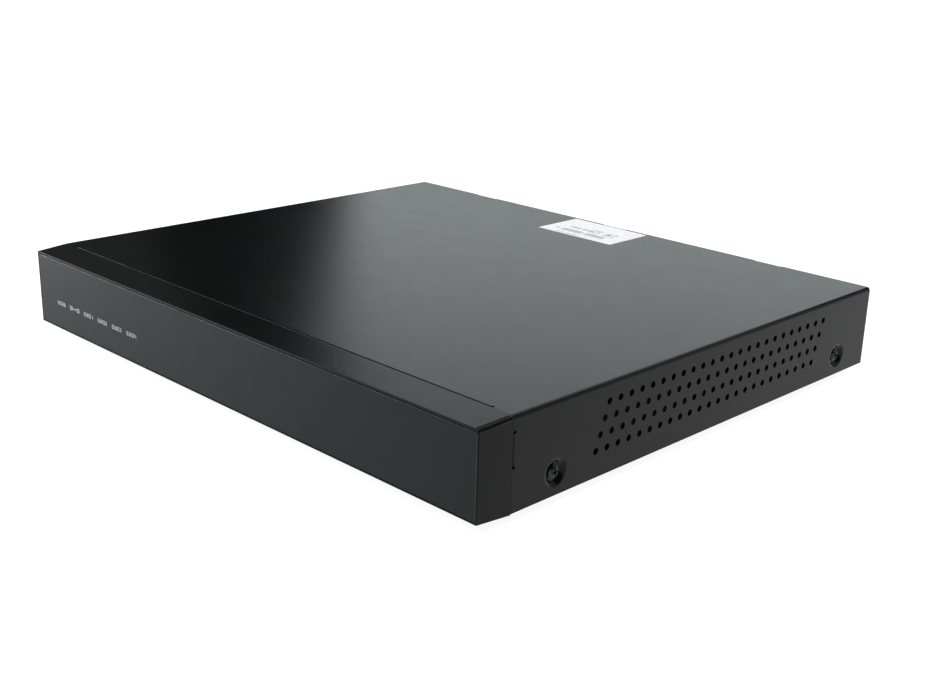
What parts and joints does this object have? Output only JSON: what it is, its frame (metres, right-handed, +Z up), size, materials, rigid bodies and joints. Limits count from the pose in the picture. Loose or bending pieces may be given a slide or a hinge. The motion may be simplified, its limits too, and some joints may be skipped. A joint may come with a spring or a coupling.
{
  "type": "digital video recorder",
  "caption": "Rack-width digital video recorder: folded steel case with vented sides, drafted front bezel with inset panel, rear jacks, fans, power rocker and hard drives inside.",
  "frame": {"origin": "centre of the overall box, on the plane of the feet", "axes": "+X to the right seen from the front, +Y from the front to the back, +Z up"},
  "size_m": [0.44, 0.385, 0.0591],
  "materials": {
    "powder_coat": "satin fine-texture powder coat",
    "panel_plastic": "fine matt texture",
    "label_film": null,
    "rubber": "matt",
    "black_screw": "black oxide",
    "bright_steel": "zinc plated",
    "circuit_board": "solder mask",
    "lamp_plastic": "diffusing, unlit",
    "zinc_sheet": "galvanised",
    "cast_alloy": "as cast",
    "platter": "polished",
    "brass": "turned",
    "black_plastic": "moulded",
    "aluminium": "extruded",
    "ferrite": "taped winding",
    "nickel": "nickel plated",
    "white_plastic": "moulded",
    "blue_plastic": "moulded",
    "green_plastic": "moulded",
    "red_lead": "flexible jacket",
    "lead_sleeve": "flexible jacket"
  },
  "bodies": {
    "case": {"top_cover": "powder_coat", "base_chassis": "powder_coat", "rear_panel": "powder_coat", "front_bezel": "powder_coat", "front_panel": "panel_plastic", "top_label": "label_film", "rubber_feet": "rubber", "cover_side_screws": "black_screw", "cover_rear_screws": "black_screw", "chassis_screws": "bright_steel", "drive_screws": "bright_steel", "foot_screws": "bright_steel", "fan_screws": "black_screw", "inlet_screws": "black_screw", "indicator_board": "circuit_board", "indicator_lamps": "lamp_plastic", "light_pipes": "lamp_plastic", "drive_rails": "zinc_sheet", "drive_1": "cast_alloy", "drive_2": "cast_alloy", "drive_3": "cast_alloy", "drive_4": "cast_alloy", "drive_boards": "circuit_board", "main_board": "circuit_board", "board_standoffs": "brass", "processor": "black_plastic", "heat_sink": "aluminium", "memory_chips": "black_plastic", "board_headers": "black_plastic", "coin_cell": "bright_steel", "power_board": "circuit_board", "power_transformer": "ferrite", "power_capacitors": "black_plastic", "power_heat_sinks": "aluminium", "mains_inlet": "black_plastic", "inlet_pins": "bright_steel", "power_switch": "black_plastic", "rear_fan_frame": "black_plastic", "side_fan_frame": "black_plastic", "video_jacks": "nickel", "video_jack_blocks": "white_plastic", "audio_jacks": "black_plastic", "vga_socket": "blue_plastic", "hdmi_socket": "nickel", "esata_socket": "nickel", "usb_socket": "nickel", "network_socket": "nickel", "terminal_block": "green_plastic", "data_leads": "red_lead", "drive_power_lead": "lead_sleeve", "panel_lead": "lead_sleeve", "fan_leads": "lead_sleeve", "supply_leads": "lead_sleeve"},
    "rear_fan": {"rear_fan_rotor": "black_plastic"},
    "side_fan": {"side_fan_rotor": "black_plastic"},
    "rocker": {"power_rocker": "black_plastic"},
    "spindle_1": {"drive_1_platters": "platter"},
    "spindle_2": {"drive_2_platters": "platter"},
    "spindle_3": {"drive_3_platters": "platter"},
    "spindle_4": {"drive_4_platters": "platter"}
  },
  "joints": [
    {"name": "rear_fan_spin", "type": "hinge", "parent": "case", "child": "rear_fan", "pos_m": [-0.083, 0.16835, 0.032], "axis": [0, 1, 0], "continuous": true},
    {"name": "side_fan_spin", "type": "hinge", "parent": "case", "child": "side_fan", "pos_m": [0.20785, 0.0145, 0.032], "axis": [1, 0, 0], "continuous": true},
    {"name": "power_rocker_tilt", "type": "hinge", "parent": "case", "child": "rocker", "pos_m": [-0.131, 0.1778, 0.032], "axis": [0, 0, 1], "range_deg": [0, 24]},
    {"name": "drive_1_spin", "type": "hinge", "parent": "case", "child": "spindle_1", "pos_m": [-0.15975, -0.1047, 0.023], "axis": [0, 0, 1], "continuous": true},
    {"name": "drive_2_spin", "type": "hinge", "parent": "case", "child": "spindle_2", "pos_m": [-0.05325, -0.1047, 0.023], "axis": [0, 0, 1], "continuous": true},
    {"name": "drive_3_spin", "type": "hinge", "parent": "case", "child": "spindle_3", "pos_m": [0.05325, -0.1047, 0.023], "axis": [0, 0, 1], "continuous": true},
    {"name": "drive_4_spin", "type": "hinge", "parent": "case", "child": "spindle_4", "pos_m": [0.15975, -0.1047, 0.023], "axis": [0, 0, 1], "continuous": true}
  ]
}
